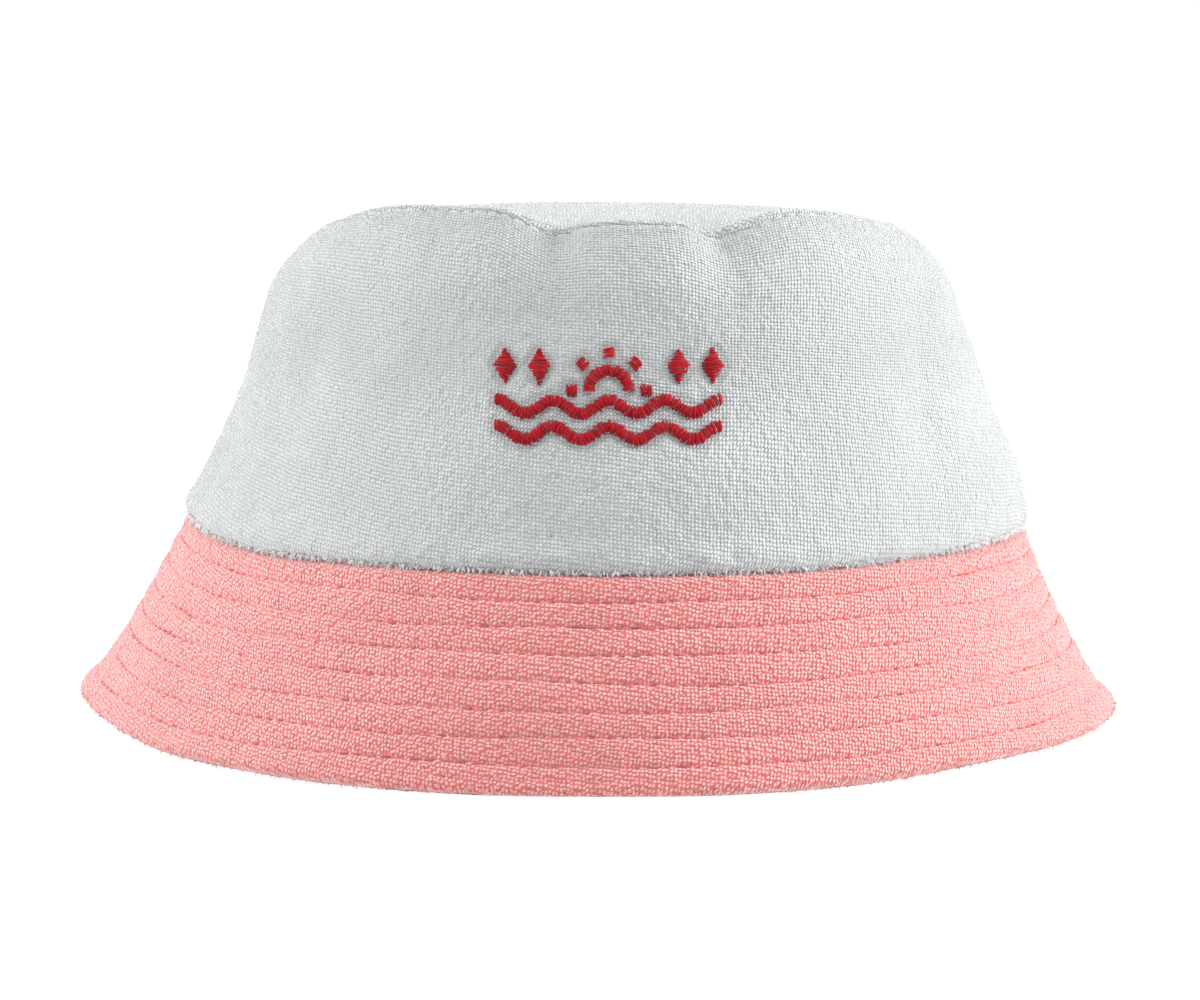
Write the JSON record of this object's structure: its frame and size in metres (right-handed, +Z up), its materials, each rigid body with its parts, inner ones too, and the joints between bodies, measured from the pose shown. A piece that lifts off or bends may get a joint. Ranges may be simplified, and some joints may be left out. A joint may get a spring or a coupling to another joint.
{
  "type": "bucket hat",
  "caption": "Soft terry bucket hat with an oval tapering crown, a quilted downturned brim, a plain embroidered motif, a cotton lining and a sweatband.",
  "frame": {"origin": "centre of the plane that the brim's edge rests on", "axes": "+Z up through the crown, -Y towards the embroidered front, +X towards the wearer's left side seam"},
  "size_m": [0.246, 0.2308, 0.1265],
  "materials": {
    "crown_terry": "matte",
    "lining_cotton": "matte",
    "seam_tape": "matte",
    "crown_thread": "matte",
    "embroidery_thread": "matte",
    "stabiliser": "matte",
    "sweatband_cotton": "matte",
    "label_satin": "matte",
    "brim_terry": "matte",
    "brim_thread": "matte"
  },
  "bodies": {
    "crown": {"crown_front_panel": "crown_terry", "crown_back_panel": "crown_terry", "crown_tip": "crown_terry", "lining_front_panel": "lining_cotton", "lining_back_panel": "lining_cotton", "lining_tip": "lining_cotton", "tip_seam_tape": "seam_tape", "tip_topstitch_lower": "crown_thread", "tip_topstitch_upper": "crown_thread", "embroidery_stitching": "embroidery_thread", "embroidery_backing": "stabiliser", "sweatband": "sweatband_cotton", "sweatband_stitch_lower": "crown_thread", "sweatband_stitch_upper": "crown_thread", "woven_label": "label_satin"},
    "brim": {"brim_top_front": "brim_terry", "brim_top_back": "brim_terry", "brim_interlining_front": "stabiliser", "brim_interlining_back": "stabiliser", "brim_under_front": "brim_terry", "brim_under_back": "brim_terry", "brim_stitch_row_1": "brim_thread", "brim_stitch_row_2": "brim_thread", "brim_stitch_row_3": "brim_thread", "brim_stitch_row_4": "brim_thread", "brim_stitch_row_5": "brim_thread", "brim_stitch_row_6": "brim_thread", "brim_stitch_row_7": "brim_thread"},
    "care_label": {"care_label": "label_satin"}
  },
  "joints": [
    {"name": "brim_turn_up", "type": "slide", "parent": "crown", "child": "brim", "axis": [0, 0, 1], "range_m": [0, 0.0934]},
    {"name": "care_label_swing", "type": "hinge", "parent": "crown", "child": "care_label", "pos_m": [-0.08453, 0, 0.07412], "axis": [0, -1, 0], "range_deg": [-12, 120]}
  ]
}
